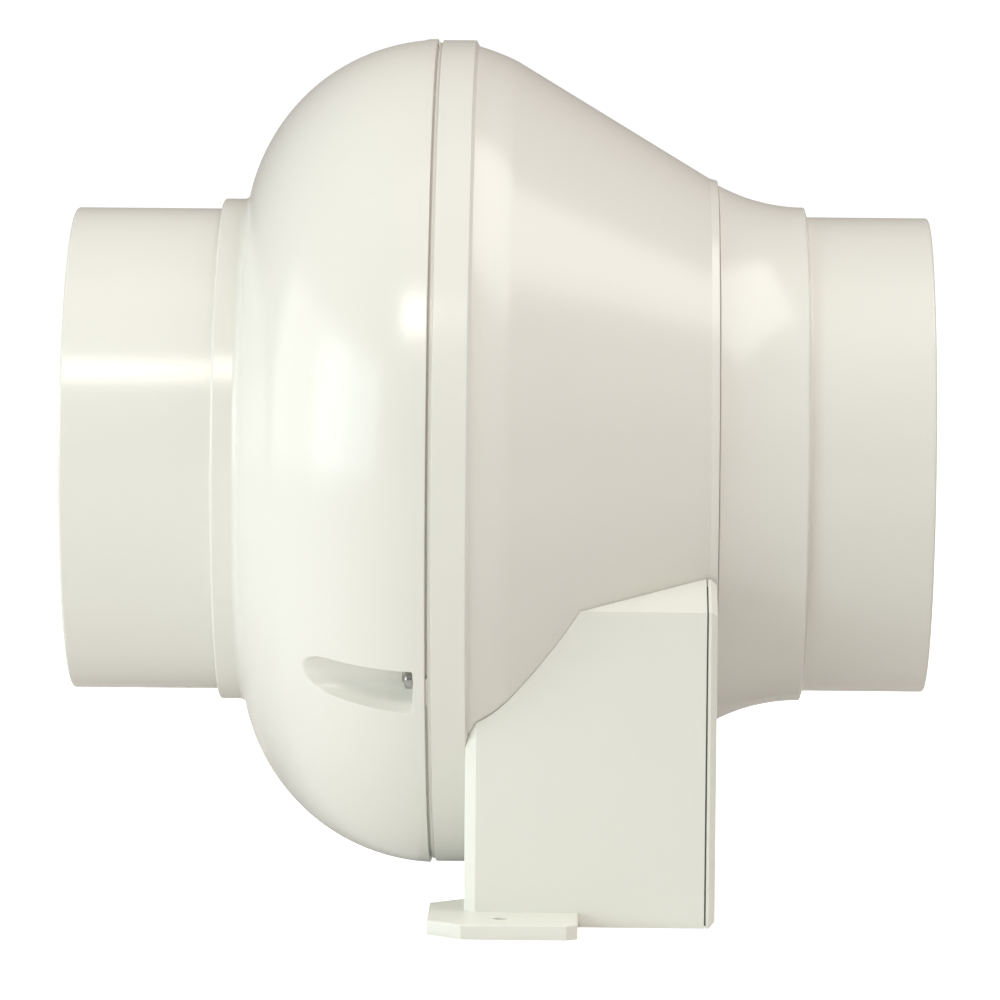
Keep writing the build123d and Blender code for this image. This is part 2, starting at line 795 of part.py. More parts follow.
def terminal_screws():
    """Slotted screws, each standing on the floor of its hole."""
    low_z = terminal_top_z - 3
    top_z = terminal_top_z - 0.9
    head = Pos(0, 0, (low_z + top_z) / 2) * Cylinder(terminal_screw_r, top_z - low_z)
    head -= Pos(0, 0, top_z) * Box(5, 0.7, 1)
    return joined([Pos(x, y, 0) * head for y in terminal_stations() for x in terminal_rows_x])


def run_capacitor():
    """Round can with a narrower cap for its two wires."""
    length = capacitor_x[1] - capacitor_x[0]
    can = Pos(sum(capacitor_x) / 2, capacitor_y, capacitor_z) * Rot(Y=90) * Cylinder(capacitor_r, length)
    can = fillet(can.edges(), 1.5)
    return can + rod(capacitor_x[1] - 0.5, capacitor_x[1] + 2, capacitor_y, capacitor_z, 9)


def capacitor_clip():
    """Band round the capacitor, with a foot that is screwed to the floor of the pedestal."""
    band = rod(*clip_x, capacitor_y, capacitor_z, capacitor_r + 1.1)
    band -= rod(clip_x[0] - 1, clip_x[1] + 1, capacitor_y, capacitor_z, capacitor_r + 0.05)
    band += block(*clip_x, -57.5, -48, clip_foot_z, clip_foot_top_z)
    band += block(*clip_x, -57.9, -56.9, clip_foot_z, capacitor_z)
    return band - Pos(clip_middle_x, clip_screw_y, -132) * Cylinder(casing_screw_r + 0.1, 6)


def clip_screw():
    return Pos(clip_middle_x, clip_screw_y, clip_foot_top_z) * pan_screw(3, 2, casing_screw_r, 2.6)


def cord_clamp():
    bar = clamp_block(entry_z, entry_z + 6, clamp_half_width - 0.2)
    bar -= Pos(entry_x, clamp_y, entry_z) * Rot(X=90) * Cylinder(clamp_groove_r, 12)
    for x in clamp_screw_stations():
        bar -= Pos(x, clamp_y, entry_z) * Cylinder(clamp_screw_r + passing_clearance, 18)
    return bar


def cord_clamp_screws():
    screw = pan_screw(2.8, 2, clamp_screw_r, 13)
    return joined([Pos(x, clamp_y, entry_z + 6) * screw for x in clamp_screw_stations()])


def grommet(neck_r, flange_r, bore_r, thickness):
    """Rubber grommet about Z, for a wall whose outer face is at Z 0."""
    body = Pos(0, 0, -thickness / 2) * Cylinder(neck_r, thickness + 0.2)
    outer = Pos(0, 0, 1.1) * Cylinder(flange_r, 2)
    body += fillet(outer.edges().group_by(Axis.Z)[-1], 0.9)
    body += Pos(0, 0, -thickness - 0.9) * Cylinder(flange_r - 1.2, 1.6)
    return body - Cylinder(bore_r, 30)


def cable_grommet():
    place = Pos(entry_x, base_half_width, entry_z) * Rot(X=-90)
    return place * grommet(entry_hole_r - 0.1, 11.5, cable_r, wall)


def lead_grommet():
    """Sleeve round the motor lead where it passes through the cone."""
    return Pos(lead_x, 0, -93.5) * (Cylinder(lead_r + 0.9, 16) - Cylinder(lead_r + gap, 20))


def terminal_cover():
    x0 = base_right_x + cover_gap
    plate = house_solid(x0, x0 + cover_thickness, 0)
    outer = plate.faces().sort_by(Axis.X)[-1].outer_wire().edges()
    plate = chamfer(outer, 1.8)
    lip = house_solid(base_right_x - 3, x0, wall + 0.5) - house_solid(base_right_x - 4, x0, wall + 2)
    lip -= ring(0, x0, 0, 95)
    for y, z in cover_screw_places():
        lip -= rod(0, x0, y, z, 5.2)
    body = plate + lip - ring(0, 150, 0, cover_cutout_r)
    sink = countersink(cover_screw_head_r, cover_screw_r, 0.05)
    for y, z in cover_screw_places():
        body -= rod(0, 150, y, z, cover_screw_r + passing_clearance)
        body -= along_x(sink, x0 + cover_thickness, y, z, towards=-1)
    return body


def cover_seal():
    seal = house_solid(base_right_x + 0.05, base_right_x + cover_gap, 0.7)
    seal -= house_solid(base_right_x - 1, base_right_x + 1, wall + 0.4)
    seal -= ring(0, 150, 0, 90)
    return seal


def cover_screws():
    x = base_right_x + cover_gap + cover_thickness
    screw = countersunk_screw(cover_screw_head_r, cover_screw_r, 16.2)
    return joined([along_x(screw, x, y, z, towards=-1) for y, z in cover_screw_places()])


def rating_label():
    """Blank plate on the far side of the pedestal."""
    plate = Pos(48, base_half_width + 0.2, -80) * Box(46, 0.3, 26)
    return fillet(plate.edges().filter_by(Axis.Y), 2)


makers = [
    inlet_spigot, inlet_casing, inlet_bellmouth, casing_seal, outlet_casing, outlet_adaptor, casing_screws,
    motor_carrier, carrier_screws, tail_cone, motor_can, end_bell, end_bell_screws, motor_screws,
    motor_bearings, stator_core, stator_windings, motor_lead, impeller, impeller_shroud, impeller_nut,
    nose_cap, rotor_shaft, rotor_core, shaft_spacer, shaft_circlip, mounting_base, base_screws,
    terminal_block, terminal_screws, run_capacitor, capacitor_clip, clip_screw, cord_clamp,
    cord_clamp_screws, cable_grommet, lead_grommet, terminal_cover, cover_seal, cover_screws, rating_label,
]

os.makedirs("parts", exist_ok=True)
to_origin = Pos(-(inlet_mouth_x + outlet_mouth_x) / 2, 0, axis_height)
for make in makers:
    export_step(to_origin * make(), f"parts/{make.__name__}.step")
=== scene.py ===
import json
import math

import bmesh
import bpy
import numpy as np
from mathutils import Euler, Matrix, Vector


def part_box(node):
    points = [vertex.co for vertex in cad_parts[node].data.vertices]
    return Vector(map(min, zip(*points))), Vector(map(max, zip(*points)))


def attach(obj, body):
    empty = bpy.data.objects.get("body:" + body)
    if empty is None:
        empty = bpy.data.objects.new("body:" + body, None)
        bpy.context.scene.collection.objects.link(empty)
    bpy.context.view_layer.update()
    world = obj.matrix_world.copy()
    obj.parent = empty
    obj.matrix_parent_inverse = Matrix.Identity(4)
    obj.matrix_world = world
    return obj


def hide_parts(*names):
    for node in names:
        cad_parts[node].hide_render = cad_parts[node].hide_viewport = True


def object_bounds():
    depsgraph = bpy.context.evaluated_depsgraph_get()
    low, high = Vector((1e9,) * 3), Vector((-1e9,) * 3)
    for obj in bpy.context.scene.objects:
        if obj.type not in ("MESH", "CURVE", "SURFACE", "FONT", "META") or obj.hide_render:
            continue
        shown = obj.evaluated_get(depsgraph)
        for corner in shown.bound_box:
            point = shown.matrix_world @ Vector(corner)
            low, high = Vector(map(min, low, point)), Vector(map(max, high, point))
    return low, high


# In-line duct fan: its visible mouldings are rebuilt here as fine meshes in the fan frame, in mm, where
# X runs along the duct axis from the joint between the casings and radii are taken from the duct axis.

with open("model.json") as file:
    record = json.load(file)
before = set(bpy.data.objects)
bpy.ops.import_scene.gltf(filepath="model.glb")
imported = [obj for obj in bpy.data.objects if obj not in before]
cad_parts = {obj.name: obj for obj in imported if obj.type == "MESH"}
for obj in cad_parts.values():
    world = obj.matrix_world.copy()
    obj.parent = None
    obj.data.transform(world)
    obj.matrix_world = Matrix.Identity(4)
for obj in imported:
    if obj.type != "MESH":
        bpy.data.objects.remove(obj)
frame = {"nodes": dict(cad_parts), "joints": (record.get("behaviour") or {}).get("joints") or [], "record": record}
cad_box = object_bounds()

MM = 0.001
spin = next(joint for joint in frame["joints"] if joint["name"] == "impeller_spin")
axis_z = spin["pos_m"][2]
adaptor_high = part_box("outlet_adaptor")[1]
spigot_low, spigot_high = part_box("inlet_spigot")
inlet_mouth_x = -110.3
joint_x = spigot_low.x - inlet_mouth_x * MM

# Casings, in the fan frame
wall = 2.5
collar_r = 77.6
collar_x = -64.7
collar_bore_r = 73.5
inlet_spigot_r = 74.5
outlet_spigot_r = 73.4
outlet_mouth_x = (adaptor_high.x - joint_x) / MM
bulb_arc_r = 61.0
bulb_arc_x = 3.2
bulb_arc_centre_r = 66.58
rim_x = 1.1
groove_r = 125.4
groove_width = 1.75
rebate_r = 126.35
rebate_end_x = 2.75
band_r = 127.2
band_end_x = 12.9
bevel_x = 13.9
bevel_r = 125.4
cone_start_x = 26.0
cone_slope = 0.6
cone_ref_x = 42.9
cone_ref_r = 110.55
ring_start_x = 85.2
ring_end_x = 87.7
ring_end_r = 84.5
neck_end_x = 114.5
neck_end_r = 76.4
neck_arc_r = 56.0
socket_x = 84.0
socket_r = 82.1
fit_gap = 0.1

# Screw channels in the bulb
channel_angles = (90, 210.7, 329.3)
channel_axis_r = 120.2
channel_r = 6.5
channel_wall = 2.2
channel_tip_x = -37.0
channel_trough_x = -33.0
channel_end_x = -2.8
channel_draft = 1 / 12
pocket_x = channel_end_x - 3.0
pocket_half_width = 4.5
pocket_floor_r = channel_axis_r - channel_r - 0.9
tab_r = 126.5

# Grid of the casings: slopes of the carved walls, widths over which their creases are rounded, and columns
end_wall_slope = 40
pocket_wall_slope = 14
channel_crease = 0.55
pocket_crease = 0.25
channel_margin = 7.5
columns_between_channels = 64
clear_of_channels = 1000.0
no_end_wall = 1000.0

SEGMENTS = 240


# Mesh helpers

def mesh_object(name, vertices, faces):
    """New object from fan-frame vertices in mm, moved into the row frame in metres."""
    points = np.array(vertices, float) * MM + np.array((joint_x, 0, axis_z))
    mesh = bpy.data.meshes.new(name)
    mesh.from_pydata(points.tolist(), [], faces)
    mesh.validate()
    piece = bpy.data.objects.new(name, mesh)
    bpy.context.scene.collection.objects.link(piece)
    return piece


def outward(piece):
    """Turns every face of a closed piece outwards."""
    bm = bmesh.new()
    bm.from_mesh(piece.data)
    bmesh.ops.recalc_face_normals(bm, faces=bm.faces)
    bm.to_mesh(piece.data)
    bm.free()


def smooth(piece, angle=32.0):
    """Smooth shading up to an angle, with flat faces kept flat beside their rounded edges."""
    piece.data.shade_smooth()
    piece.data.set_sharp_from_angle(angle=math.radians(angle))
    weighted = piece.modifiers.new("weighted normals", "WEIGHTED_NORMAL")
    weighted.keep_sharp = True
    weighted.weight = 80


def rounded(points, steps=5):
    """Closed outline through (x, r, corner radius), with each corner replaced by an arc of its radius."""
    outline = []
    count = len(points)
    for number, (x, r, radius) in enumerate(points):
        corner = Vector((x, r))
        if radius == 0:
            outline.append((x, r))
            continue
        before = Vector(points[number - 1][:2]) - corner
        after = Vector(points[(number + 1) % count][:2]) - corner
        half = before.angle(after) / 2
        reach = radius / math.tan(half)
        reach = min(reach, before.length * 0.49, after.length * 0.49)
        true_radius = reach * math.tan(half)
        start = corner + before.normalized() * reach
        end = corner + after.normalized() * reach
        middle = (before.normalized() + after.normalized()).normalized()
        centre = corner + middle * (true_radius / math.sin(half))
        first = start - centre
        turn = first.angle_signed(end - centre)
        for step in range(steps + 1):
            angle = -turn * step / steps
            spoke = Vector((
                first.x * math.cos(angle) - first.y * math.sin(angle),
                first.x * math.sin(angle) + first.y * math.cos(angle),
            ))
            outline.append(tuple(centre + spoke))
    return outline


def tube_faces(rows, columns):
    """Quads of a grid that closes on itself both ways, as a ring does."""
    faces = []
    for row in range(rows):
        next_row = (row + 1) % rows
        for column in range(columns):
            next_column = (column + 1) % columns
            faces.append((
                row * columns + column,
                next_row * columns + column,
                next_row * columns + next_column,
                row * columns + next_column,
            ))
    return faces


def lathe(name, outline, segments=SEGMENTS):
    """Closed ring made by turning a closed outline of (x, r) about the duct axis."""
    angles = np.linspace(0, 2 * math.pi, segments, endpoint=False)
    vertices = [(x, r * math.cos(a), r * math.sin(a)) for x, r in outline for a in angles]
    piece = mesh_object(name, vertices, tube_faces(len(outline), segments))
    outward(piece)
    smooth(piece)
    return piece


def from_cad(node, bevel):
    """Copy of a CAD node's mesh with its flat faces merged and its edges really rounded."""
    sharp = math.radians(30)
    mesh = frame["nodes"][node].data.copy()
    mesh.name = node + "_moulded"
    bm = bmesh.new()
    bm.from_mesh(mesh)
    bmesh.ops.remove_doubles(bm, verts=bm.verts, dist=0.000002)
    bmesh.ops.dissolve_limit(bm, angle_limit=math.radians(0.4), verts=bm.verts, edges=bm.edges)
    bm.to_mesh(mesh)
    bm.free()
    if mesh.attributes.get("custom_normal"):
        mesh.attributes.remove(mesh.attributes["custom_normal"])
    piece = bpy.data.objects.new(node + "_piece", mesh)
    bpy.context.scene.collection.objects.link(piece)
    mesh.materials.clear()
    mesh.shade_smooth()
    mesh.set_sharp_from_angle(angle=sharp)
    rounding = piece.modifiers.new("rounded edges", "BEVEL")
    rounding.width = bevel * MM
    rounding.segments = 3
    rounding.limit_method = "ANGLE"
    rounding.angle_limit = sharp
    rounding.harden_normals = True
    rounding.use_clamp_overlap = True
    rounding.miter_outer = "MITER_ARC"
    return piece


# Inlet casing: collar and bulb with three screw channels

def smooth_min(a, b, width):
    """Smaller of two heights, with the crease between them rounded over a width."""
    h = np.clip(0.5 + 0.5 * (b - a) / width, 0, 1)
    return b + (a - b) * h - width * h * (1 - h)


def bulb_r(x, offset=0.0):
    """Radius of the bulb at x, or of its inner face for a negative offset."""
    return bulb_arc_centre_r + math.sqrt(max((bulb_arc_r + offset) ** 2 - (x - bulb_arc_x) ** 2, 0))


def channel_reach(surface_r):
    """Half width of the screw channel where the bulb has this radius."""
    rise = surface_r - channel_axis_r
    if rise >= 0:
        return channel_r + rise * channel_draft
    return math.sqrt(max(channel_r**2 - rise**2, 1.0))


def channel_floor(x, u, radius, end_x):
    """Radius of the channel's surface at x and at a distance u beside its centre line."""
    u = np.abs(u)
    inside = channel_axis_r - np.sqrt(np.maximum(radius**2 - u**2, 0))
    floor = inside + np.maximum(u - radius, 0) / channel_draft
    return floor + max(x - end_x, 0) * end_wall_slope


def pocket_floor(x, u):
    """Radius of the floor of the pocket beside the screw's seat."""
    side = np.maximum(np.abs(u) - pocket_half_width, 0) * pocket_wall_slope
    ends = max(x - channel_end_x, 0) * end_wall_slope + max(pocket_x - x, 0) * pocket_wall_slope
    return pocket_floor_r + side + ends


def column_layout():
    """Columns across one channel: (share of its half width, distance outside it), closest at its edges."""
    inside = [0, 0.15, 0.3, 0.44, 0.55, 0.61, 0.63, 0.645, 0.66, 0.68, 0.74, 0.8, 0.86, 0.9, 0.93, 0.95,
              0.965, 0.98, 1.0]
    outside = [0.12, 0.25, 0.45, 0.8, 1.3, 2.1, 3.4, 5.2, channel_margin]
    half = [(share, 0.0) for share in inside] + [(1.0, extra) for extra in outside]
    side = [(-share, -extra) for share, extra in reversed(half[1:])]
    return side + half


def casing_columns(surface_r):
    """Angles round the axis for one row of the casing, and each column's distance from its channel."""
    reach = channel_reach(surface_r)
    angles = []
    offsets = []
    for number, channel in enumerate(channel_angles):
        base = math.radians(channel)
        following = math.radians(channel_angles[(number + 1) % len(channel_angles)])
        for share, extra in column_layout():
            u = share * reach + extra
            angles.append(base + math.asin(u / channel_axis_r))
            offsets.append(u)
        edge = math.asin((reach + channel_margin) / channel_axis_r)
        span = (following - base) % (2 * math.pi) - 2 * edge
        for step in range(1, columns_between_channels):
            angles.append(base + edge + span * step / columns_between_channels)
            offsets.append(clear_of_channels)
    return np.array(angles), np.array(offsets)


def grid_row(x, radii, angles):
    """One ring of vertices at x, with a radius for each angle."""
    return np.stack([np.full_like(radii, x), radii * np.cos(angles), radii * np.sin(angles)], axis=1)


def carved_row(x, r, radius, end_x, with_pocket):
    """One ring of vertices of the bulb, pressed in where it crosses a channel."""
    angles, offsets = casing_columns(r if radius == channel_r else r + wall)
    floor = channel_floor(x, offsets, radius, end_x)
    if with_pocket:
        floor = smooth_min(floor, pocket_floor(x, offsets), pocket_crease)
    pressed = smooth_min(np.full_like(offsets, r), floor, channel_crease)
    radii = np.where(offsets < clear_of_channels, pressed, r)
    return grid_row(x, radii, angles)


def bulb_stations():
    """X of the rows along the bulb, closer together at the tip of the channels and at their end wall."""
    flank = [bulb_arc_x - bulb_arc_r * math.cos(math.radians(a)) for a in np.arange(16, 49, 2.0)]
    tip = np.arange(channel_tip_x, channel_trough_x, 0.3).tolist()
    trough = np.arange(channel_trough_x, pocket_x - 0.6, 0.7).tolist()
    pocket_steps = (-0.5, -0.3, -0.2, -0.12, -0.06, 0, 0.1, 0.4, 1.1, 1.9, 2.5)
    pocket = [pocket_x + step for step in pocket_steps]
    end_steps = (-0.25, -0.12, -0.04, 0, 0.04, 0.1, 0.16, 0.22, 0.28, 0.34, 0.42, 0.52, 0.7, 1.1, 1.8, 2.7,
                 3.4)
    end = [channel_end_x + step for step in end_steps]
    return sorted(set(round(x, 3) for x in flank + tip + trough + pocket + end))


def flank_x(radius, offset=0.0):
    """X of the bulb's left flank at a radius, or of its inner face for a negative offset."""
    return bulb_arc_x - math.sqrt((bulb_arc_r + offset) ** 2 - (radius - bulb_arc_centre_r) ** 2)


def inlet_casing():
    """Collar, bulb with its channels, rounded rim over the groove, and the inner face, as one closed grid."""
    rim = 0.35
    corner_x = flank_x(collar_r)
    inner_corner_x = flank_x(collar_bore_r, -wall)
    first_x = bulb_stations()[0]
    # The last two points only close the outline for the rounding, and are dropped
    collar = rounded([
        (inner_corner_x, collar_bore_r, 0.3),
        (collar_x, collar_bore_r, 0.4),
        (collar_x, collar_r, 0.9),
        (corner_x, collar_r, 2.2),
        (first_x, bulb_r(first_x), 0),
        (inner_corner_x + 3, bulb_r(first_x) - 6, 0),
    ])[:-2]
    rows = []
    for x, r in collar:
        rows.append(carved_row(x, r, channel_r, no_end_wall, False))
    for x in bulb_stations():
        rows.append(carved_row(x, bulb_r(x), channel_r, channel_end_x, True))
    for step in range(6):
        angle = math.radians(90 * step / 5)
        x = rim_x - rim + rim * math.sin(angle)
        r = bulb_r(rim_x) - rim + rim * math.cos(angle)
        rows.append(carved_row(x, r, channel_r, channel_end_x, True))
    for x in (rim_x, 0.0):
        rows.append(carved_row(x, groove_r + fit_gap, channel_r, no_end_wall, False))
    inner = [x for x in bulb_stations() if -52 < x < channel_tip_x or channel_tip_x + 1 < x < -0.5]
    for x in [0.0] + sorted(inner, reverse=True)[::2]:
        rows.append(carved_row(x, bulb_r(x, -wall), channel_r + channel_wall, no_end_wall, False))
    rows.append(carved_row(inner_corner_x, collar_bore_r + 1.5, channel_r, no_end_wall, False))
    vertices = np.concatenate(rows)
    piece = mesh_object("inlet_casing_moulded", vertices, tube_faces(len(rows), len(rows[0])))
    outward(piece)
    smooth(piece, 40)
    return piece


# Outlet casing: groove with its tabs, band, cone and end ring

def cone_r(x):
    """Outer radius of the straight cone at x."""
    return cone_ref_r - cone_slope * (x - cone_ref_x)


def shoulder_outline():
    """Points of the soft hollow between the band's bevel and the straight cone."""
    hollow = cone_r(bevel_x) - bevel_r
    points = []
    for x in np.linspace(bevel_x, cone_start_x, 9)[1:]:
        left = (cone_start_x - x) / (cone_start_x - bevel_x)
        points.append((x, cone_r(x) - hollow * left**1.4, 0))
    return points


def outlet_casing():
    """Casing turned as one closed grid, with the floor of its groove raised to a tab behind each channel."""
    cone_wall = wall * math.sqrt(1 + cone_slope**2)
    inner_end_x = socket_x - 0.4
    inner_start_x = 18.0
    inner_bend_x = 12.0
    tab_start_x = rim_x + 0.07
    tab_end_x = groove_width + 0.1
    tab_edge = 0.25
    outline = rounded([
        (0.0, groove_r - 0.9, 0),
        (0.0, groove_r, 0.1),
        (rim_x + 0.05, groove_r, 0),
        (rim_x + 0.1, groove_r, 0),
        (groove_width, groove_r, 0),
        (groove_width, rebate_r, 0.15),
        (rebate_end_x, rebate_r, 0.2),
        (rebate_end_x, band_r, 0.25),
        (band_end_x, band_r, 0.3),
        (bevel_x, bevel_r, 0.25),
        *shoulder_outline(),
        (ring_start_x, cone_r(ring_start_x), 0.25),
        (ring_end_x, ring_end_r, 0.5),
        (ring_end_x, socket_r, 0.3),
        (socket_x, socket_r, 0),
        (inner_end_x, cone_r(inner_end_x) - cone_wall, 0.4),
        (inner_start_x, cone_r(inner_start_x) - cone_wall, 2.0),
        (inner_bend_x, band_r - wall, 2.0),
        (0.0, band_r - wall, 0),
    ])
    angles, offsets = casing_columns(band_r)
    tab = np.clip((pocket_half_width + tab_edge - np.abs(offsets)) / tab_edge, 0, 1)
    tab = tab * tab * (3 - 2 * tab)
    rows = []
    for x, r in outline:
        radii = np.full_like(angles, r)
        if tab_start_x < x < tab_end_x and r < tab_r:
            radii = radii + (tab_r - r) * tab
        rows.append(grid_row(x, radii, angles))
    piece = mesh_object("outlet_casing_moulded", np.concatenate(rows), tube_faces(len(rows), len(angles)))
    outward(piece)
    smooth(piece)
    return piece


def inlet_spigot():
    """Spigot with its mouth rim, and the narrower part held in the collar."""
    inner_r = inlet_spigot_r - wall
    step_x = collar_x - 0.02
    step_r = collar_bore_r - fit_gap
    flange_end_x = (spigot_high.x - joint_x) / MM
    flange_x = flange_end_x - 1.5
    flange_r = inlet_spigot_r + 2.4
    return lathe("inlet_spigot_moulded", rounded([
        (inlet_mouth_x, inner_r, 0.7),
        (inlet_mouth_x, inlet_spigot_r, 0.9),
        (step_x, inlet_spigot_r, 0.05),
        (step_x, step_r, 0.1),
        (flange_x, step_r, 0.1),
        (flange_x, flange_r, 0.3),
        (flange_end_x, flange_r, 0.3),
        (flange_end_x, inner_r, 0.4),
    ]))


def neck_r(x):
    """Outer radius of the concave neck at x."""
    return neck_end_r + neck_arc_r - math.sqrt(neck_arc_r**2 - (neck_end_x - x) ** 2)


def outlet_adaptor():
    """Tongue in the socket of the outlet casing, concave neck and spigot."""
    tongue_x = socket_x + 0.4
    tongue_r = socket_r - fit_gap
    start_x = ring_end_x + fit_gap
    stations = np.linspace(start_x, neck_end_x, 26)
    outer = [(x, neck_r(x), 0) for x in stations[1:-1]]
    inner = [(x, neck_r(x) - wall - 0.3, 0) for x in stations[2:-1][::-1]]
    return lathe("outlet_adaptor_moulded", rounded([
        (tongue_x, socket_r - 2.4, 0.5),
        (tongue_x, tongue_r, 0.3),
        (start_x, tongue_r, 0.1),
        (start_x, neck_r(start_x), 0.35),
        *outer,
        (neck_end_x, neck_end_r, 0.5),
        (neck_end_x + 0.9, outlet_spigot_r, 0.5),
        (outlet_mouth_x, outlet_spigot_r, 0.9),
        (outlet_mouth_x, outlet_spigot_r - wall, 0.7),
        (neck_end_x + 1, outlet_spigot_r - wall, 3.0),
        *inner,
    ]))


# Materials

def node_material(name, colour, roughness, metallic=0.0, specular=0.5):
    """Principled material with the constants set on the shader's own sockets."""
    material = bpy.data.materials.new(name)
    material.use_nodes = True
    shader = material.node_tree.nodes["Principled BSDF"]
    shader.inputs["Base Color"].default_value = (*colour, 1)
    shader.inputs["Roughness"].default_value = roughness
    shader.inputs["Metallic"].default_value = metallic
    shader.inputs["Specular IOR Level"].default_value = specular
    return material


def object_noise(material, scale, detail, stretch, seed=0.0):
    """Noise node in object space, shifted by a seed."""
    nodes = material.node_tree.nodes
    links = material.node_tree.links
    place = nodes.new("ShaderNodeTexCoord")
    mapping = nodes.new("ShaderNodeMapping")
    mapping.inputs["Location"].default_value = (seed, seed * 0.7, seed * 1.3)
    mapping.inputs["Scale"].default_value = stretch
    noise = nodes.new("ShaderNodeTexNoise")
    noise.inputs["Scale"].default_value = scale
    noise.inputs["Detail"].default_value = detail
    links.new(place.outputs["Object"], mapping.inputs["Vector"])
    links.new(mapping.outputs["Vector"], noise.inputs["Vector"])
    return noise


def add_noise(material, scale, detail, low, high, socket, seed=0.0, stretch=(1, 1, 1)):
    """Noise that drives one socket of the shader between two values or two colours."""
    nodes = material.node_tree.nodes
    links = material.node_tree.links
    shader = nodes["Principled BSDF"]
    noise = object_noise(material, scale, detail, stretch, seed)
    if isinstance(low, tuple):
        blend = nodes.new("ShaderNodeMix")
        blend.data_type = "RGBA"
        blend.inputs["A"].default_value = (*low, 1)
        blend.inputs["B"].default_value = (*high, 1)
        links.new(noise.outputs["Fac"], blend.inputs["Factor"])
    else:
        blend = nodes.new("ShaderNodeMapRange")
        blend.inputs["To Min"].default_value = low
        blend.inputs["To Max"].default_value = high
        links.new(noise.outputs["Fac"], blend.inputs["Value"])
    links.new(blend.outputs["Result"], shader.inputs[socket])


def add_bump(material, scale, strength, distance, detail, stretch=(1, 1, 1)):
    """Fine relief of the moulded or worked surface."""
    nodes = material.node_tree.nodes
    links = material.node_tree.links
    shader = nodes["Principled BSDF"]
    noise = object_noise(material, scale, detail, stretch)
    bump = nodes.new("ShaderNodeBump")
    bump.inputs["Strength"].default_value = strength
    bump.inputs["Distance"].default_value = distance
    links.new(noise.outputs["Fac"], bump.inputs["Height"])
    links.new(bump.outputs["Normal"], shader.inputs["Normal"])


def moulded_plastic(name, low, high, roughness_low, roughness_high, seed):
    """Gloss moulding: slightly uneven colour and gloss, and a very fine, shallow grain."""
    material = node_material(name, high, roughness_high)
    shader = material.node_tree.nodes["Principled BSDF"]
    shader.inputs["IOR"].default_value = 1.5
    add_noise(material, 7.0, 1.0, low, high, "Base Color", seed)
    add_noise(material, 10.0, 1.0, roughness_low, roughness_high, "Roughness", seed + 3)
    add_bump(material, 420.0, 0.08, 0.00002, 1.0)
    return material


def metal(name, colour, roughness, scale=60.0, stretch=(1, 1, 1)):
    """Metal with uneven gloss and a fine grain, drawn out along an axis by stretch."""
    material = node_material(name, colour, roughness, metallic=1.0)
    add_noise(material, scale, 4.0, roughness * 0.6, roughness * 1.5, "Roughness", 1.0, stretch)
    add_bump(material, scale * 8, 0.15, 0.00005, 3.0, stretch)
    return material


def matt(name, low, high, roughness):
    """Plastic or rubber with a slightly uneven colour and a fine texture."""
    material = node_material(name, high, roughness, specular=0.4)
    add_noise(material, 40.0, 4.0, low, high, "Base Color", 2.0)
    add_bump(material, 1200.0, 0.35, 0.00008, 3.0)
    return material


def make_materials():
    """Material for each slot that the record names."""
    return {
        "casing_plastic": moulded_plastic(
            "casing plastic", (0.80, 0.795, 0.74), (0.815, 0.82, 0.765), 0.18, 0.22, 0.0),
        "base_plastic": moulded_plastic(
            "base plastic", (0.80, 0.81, 0.745), (0.815, 0.825, 0.765), 0.32, 0.38, 5.0),
        "carrier_plastic": matt("carrier plastic", (0.58, 0.58, 0.55), (0.62, 0.62, 0.59), 0.45),
        "impeller_plastic": matt("impeller plastic", (0.018, 0.019, 0.02), (0.028, 0.029, 0.031), 0.42),
        "seal_rubber": matt("seal rubber", (0.14, 0.145, 0.12), (0.18, 0.185, 0.155), 0.7),
        "screw_steel": metal("screw steel", (0.40, 0.40, 0.39), 0.24),
        "can_steel": metal("can steel", (0.36, 0.37, 0.38), 0.42, stretch=(1, 8, 8)),
        "cast_aluminium": metal("cast aluminium", (0.62, 0.63, 0.64), 0.5, 120.0),
        "bearing_steel": metal("bearing steel", (0.60, 0.60, 0.61), 0.2, stretch=(12, 1, 1)),
        "core_steel": metal("core steel", (0.20, 0.20, 0.21), 0.55, stretch=(40, 1, 1)),
        "winding_copper": metal("winding copper", (0.50, 0.16, 0.06), 0.35, stretch=(1, 20, 20)),
        "lead_sheath": matt("lead sheath", (0.45, 0.45, 0.43), (0.52, 0.52, 0.50), 0.5),
        "terminal_plastic": matt("terminal plastic", (0.60, 0.58, 0.50), (0.66, 0.64, 0.56), 0.42),
        "terminal_brass": metal("terminal brass", (0.70, 0.52, 0.22), 0.32),
        "capacitor_plastic": matt("capacitor plastic", (0.70, 0.70, 0.69), (0.76, 0.76, 0.75), 0.35),
        "clip_nylon": matt("clip nylon", (0.70, 0.70, 0.67), (0.78, 0.78, 0.75), 0.4),
        "label_film": matt("label film", (0.52, 0.53, 0.54), (0.56, 0.57, 0.58), 0.3),
    }


# Build

materials = make_materials()
slots = {part["node"]: part["material_slot"] for part in frame["record"]["subparts"]}
body_of = {
    node: body for body, nodes in frame["record"]["behaviour"]["bodies"].items() for node in nodes
}

for node, item in frame["nodes"].items():
    item.data.materials.clear()
    item.data.materials.append(materials[slots[node]])


def install(piece, node):
    """Gives a detailed piece its node's body, finish and place in the model."""
    piece.data.materials.clear()
    piece.data.materials.append(materials[slots[node]])
    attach(piece, body_of[node])
    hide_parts(node)


install(inlet_spigot(), "inlet_spigot")
install(inlet_casing(), "inlet_casing")
install(outlet_casing(), "outlet_casing")
install(outlet_adaptor(), "outlet_adaptor")

